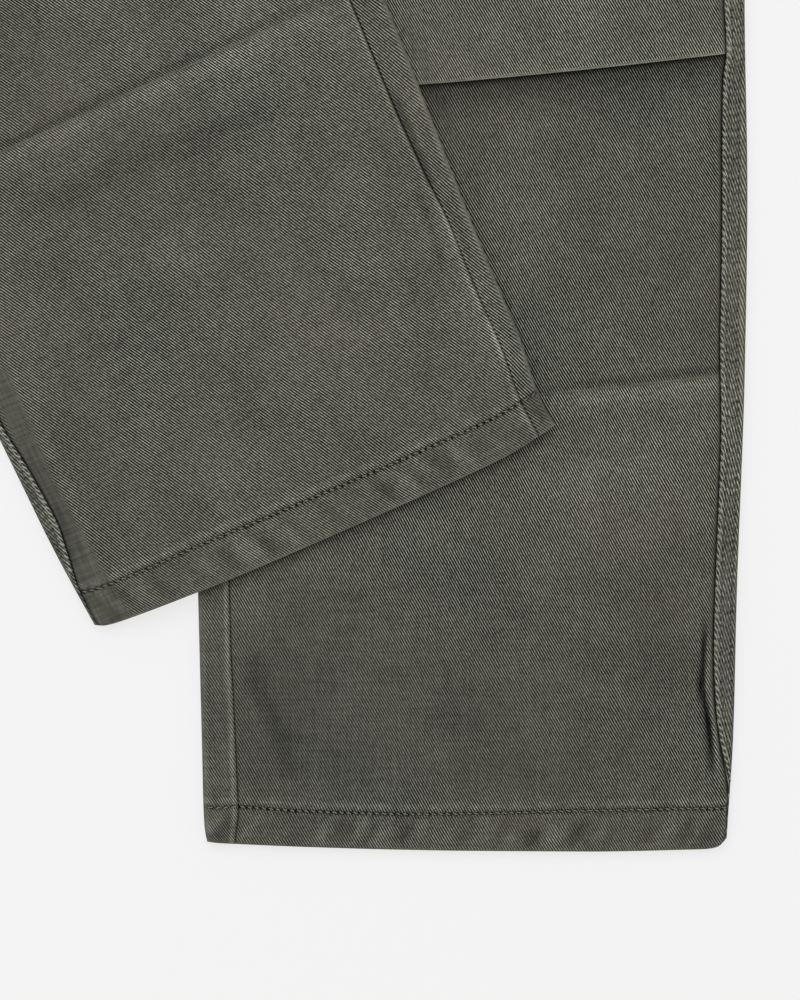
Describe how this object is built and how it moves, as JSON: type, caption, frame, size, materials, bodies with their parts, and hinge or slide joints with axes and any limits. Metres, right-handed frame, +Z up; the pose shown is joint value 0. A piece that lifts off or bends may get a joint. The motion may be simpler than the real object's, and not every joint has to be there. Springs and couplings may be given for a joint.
{
  "type": "cargo pants",
  "caption": "Wide cargo trousers laid flat with one leg crossed over the other, with flapped thigh pockets, knee tucks, slant hip pockets, a buttoned waistband and belt loops.",
  "frame": {"origin": "middle of the laid garment's outline, on the surface that it lies on", "axes": "+Y towards the waist, +Z up off the surface, so the garment's front faces +Z and its back rests on Z = 0"},
  "size_m": [0.598, 1.087, 0.0315],
  "materials": {
    "panel_cloth": "matte cotton twill, faded olive grey",
    "trim_cloth": "matte cotton twill, faded olive grey, worn lighter at its edges",
    "button_resin": "satin resin, dark olive"
  },
  "bodies": {
    "root": {"front_left": "panel_cloth", "back_left": "panel_cloth", "front_right": "panel_cloth", "back_right": "panel_cloth", "cargo_pocket_left": "panel_cloth", "cargo_pocket_right": "panel_cloth", "cargo_flap_left": "trim_cloth", "cargo_flap_right": "trim_cloth", "hip_pocket_left": "trim_cloth", "hip_pocket_right": "trim_cloth", "waistband": "trim_cloth", "fly_placket": "trim_cloth", "belt_loop_1": "trim_cloth", "belt_loop_2": "trim_cloth", "belt_loop_3": "trim_cloth", "belt_loop_4": "trim_cloth", "waist_button": "button_resin", "flap_button_left_1": "button_resin", "flap_button_left_2": "button_resin", "flap_button_right_1": "button_resin", "flap_button_right_2": "button_resin"}
  },
  "joints": []
}
